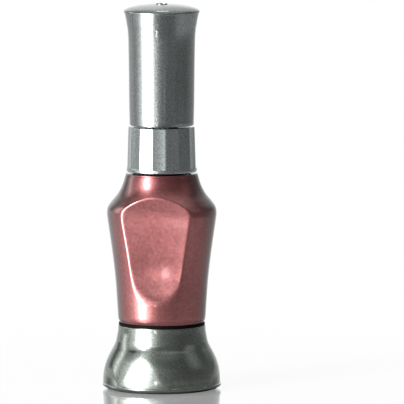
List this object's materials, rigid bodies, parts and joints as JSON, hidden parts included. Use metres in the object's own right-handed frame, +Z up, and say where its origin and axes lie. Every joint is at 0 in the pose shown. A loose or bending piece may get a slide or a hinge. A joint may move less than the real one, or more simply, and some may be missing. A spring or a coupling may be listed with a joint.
{
  "type": "nail art pen",
  "caption": "Two-way nail polish pen: bottle on a flared base, screw-in applicator with striping brush and needle nozzle, long pull-off cap.",
  "frame": {"origin": "centre of the base's underside, on the pen's axis", "axes": "+Z up along the pen's axis towards the cap; the label panel faces -Y"},
  "size_m": [0.0336, 0.0336, 0.1094],
  "materials": {
    "rose_bottle": "glossy rose pearl",
    "rose_polish": "pearl lacquer",
    "steel": "polished",
    "black_plastic": "satin",
    "silver_metallised": "satin metallised silver",
    "soft_seal": "matt",
    "natural_plastic": "satin, uncoloured",
    "grey_satin": "satin metallised grey",
    "clear_glue": "clear",
    "smoked_plastic": "glossy, wet with polish",
    "dark_nylon": "fine filament"
  },
  "bodies": {
    "bottle": {"bottle": "rose_bottle", "polish_fill": "rose_polish", "mixing_ball_left": "steel", "mixing_ball_right": "steel", "base_insert": "black_plastic", "base_shell": "silver_metallised", "base_plate": "black_plastic"},
    "seal": {"neck_seal": "soft_seal"},
    "applicator": {"collar_shell": "silver_metallised", "inner_cap": "natural_plastic", "nozzle": "grey_satin", "needle": "steel", "needle_glue": "clear_glue", "stem": "smoked_plastic", "brush_anchor": "steel", "bristles": "dark_nylon"},
    "cap": {"cap_shell": "silver_metallised", "cap_insert": "natural_plastic", "tip_seal": "soft_seal", "cleaning_pin": "steel"}
  },
  "joints": [
    {"name": "applicator_lift", "type": "slide", "parent": "bottle", "child": "seal", "axis": [0, 0, 1], "range_m": [0, 0.065]},
    {"name": "collar_unscrew", "type": "hinge", "parent": "seal", "child": "applicator", "pos_m": [0, 0, 0.0618], "axis": [0, 0, 1], "range_deg": [0, 540]},
    {"name": "cap_pull", "type": "slide", "parent": "applicator", "child": "cap", "axis": [0, 0, 1], "range_m": [0, 0.036]}
  ]
}
